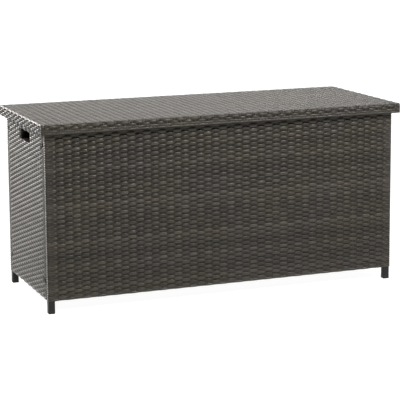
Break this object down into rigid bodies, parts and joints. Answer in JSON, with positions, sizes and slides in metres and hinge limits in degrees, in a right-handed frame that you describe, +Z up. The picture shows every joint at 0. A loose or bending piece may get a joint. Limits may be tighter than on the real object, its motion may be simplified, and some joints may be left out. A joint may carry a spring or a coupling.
{
  "type": "deck storage box",
  "caption": "Lidded outdoor deck storage box of woven flat plastic strand on a square tube frame, with legs, end hand holes, a hinged lid and gas struts.",
  "frame": {"origin": "on the ground, at the centre of the lid's outline", "axes": "+X along the length to the right as seen from the front, front faces -Y, +Z up"},
  "size_m": [1.2, 0.5, 0.585],
  "materials": {
    "frame_paint": "satin dark brown-grey powder coat on steel tube",
    "wicker": "satin dark brown-grey flat plastic strand, woven",
    "foot_plastic": "moulded black plastic",
    "rubber": "soft black rubber",
    "hinge_steel": "zinc-plated pressed steel",
    "screw_steel": "zinc-plated steel",
    "strut_paint": "gloss black paint",
    "strut_plastic": "moulded black nylon",
    "strut_chrome": "hard chrome rod"
  },
  "bodies": {
    "carcass": {"bracket_nuts": "screw_steel", "corner_brackets": "frame_paint", "corner_wraps": "wicker", "floor_crossbars": "frame_paint", "floor_screws": "screw_steel", "floor_wicker": "wicker", "foot_caps": "foot_plastic", "front_bottom_rail": "frame_paint", "front_left_post": "frame_paint", "front_right_post": "frame_paint", "front_top_rail": "frame_paint", "front_uprights": "frame_paint", "front_wicker": "wicker", "handle_jambs": "frame_paint", "hinge_body_leaves": "hinge_steel", "hinge_body_screws": "screw_steel", "hinge_pins": "hinge_steel", "left_side_rails": "frame_paint", "left_side_stiles": "frame_paint", "left_wicker": "wicker", "lid_bumpers": "rubber", "panel_bolts": "screw_steel", "rear_bottom_rail": "frame_paint", "rear_left_post": "frame_paint", "rear_right_post": "frame_paint", "rear_top_rail": "frame_paint", "rear_uprights": "frame_paint", "rear_wicker": "wicker", "right_side_rails": "frame_paint", "right_side_stiles": "frame_paint", "right_wicker": "wicker", "rim_wrap": "wicker", "strut_lower_brackets": "hinge_steel", "strut_lower_screws": "screw_steel", "strut_lower_studs": "hinge_steel"},
    "lid": {"lid_front_rail": "frame_paint", "lid_rear_rail": "frame_paint", "lid_side_rails": "frame_paint", "lid_crossbars": "frame_paint", "lid_wicker": "wicker", "lid_edge_wrap": "wicker", "hinge_lid_leaves": "hinge_steel", "hinge_lid_screws": "screw_steel", "strut_upper_brackets": "hinge_steel", "strut_upper_screws": "screw_steel"},
    "left_strut_cylinder": {"left_strut_tube": "strut_paint", "left_strut_gland": "strut_plastic", "left_strut_base_eye": "strut_plastic"},
    "left_strut_piston_rod": {"left_strut_rod": "strut_chrome", "left_strut_piston": "strut_plastic", "left_strut_rod_eye": "strut_plastic", "left_strut_upper_stud": "hinge_steel"},
    "right_strut_cylinder": {"right_strut_tube": "strut_paint", "right_strut_gland": "strut_plastic", "right_strut_base_eye": "strut_plastic"},
    "right_strut_piston_rod": {"right_strut_rod": "strut_chrome", "right_strut_piston": "strut_plastic", "right_strut_rod_eye": "strut_plastic", "right_strut_upper_stud": "hinge_steel"}
  },
  "joints": [
    {"name": "lid_hinge", "type": "hinge", "parent": "carcass", "child": "lid", "pos_m": [0, 0.228, 0.5495], "axis": [-1, 0, 0], "range_deg": [0, 80]},
    {"name": "left_strut_tilt", "type": "hinge", "parent": "carcass", "child": "left_strut_cylinder", "pos_m": [-0.541, 0.1902, 0.35], "axis": [-1, 0, 0], "range_deg": [0, 9.3]},
    {"name": "left_strut_slide", "type": "slide", "parent": "left_strut_cylinder", "child": "left_strut_piston_rod", "axis": [0, -0.1472, 0.9891], "range_m": [0, 0.081]},
    {"name": "right_strut_tilt", "type": "hinge", "parent": "carcass", "child": "right_strut_cylinder", "pos_m": [0.541, 0.1902, 0.35], "axis": [-1, 0, 0], "range_deg": [0, 9.3]},
    {"name": "right_strut_slide", "type": "slide", "parent": "right_strut_cylinder", "child": "right_strut_piston_rod", "axis": [0, -0.1472, 0.9891], "range_m": [0, 0.081]}
  ],
  "couplings": [
    {"joint": "left_strut_tilt", "follows": "lid_hinge", "ratio": 0.11566},
    {"joint": "left_strut_slide", "follows": "lid_hinge", "m_per_rad": 0.057677},
    {"joint": "right_strut_tilt", "follows": "lid_hinge", "ratio": 0.11566},
    {"joint": "right_strut_slide", "follows": "lid_hinge", "m_per_rad": 0.057677}
  ]
}
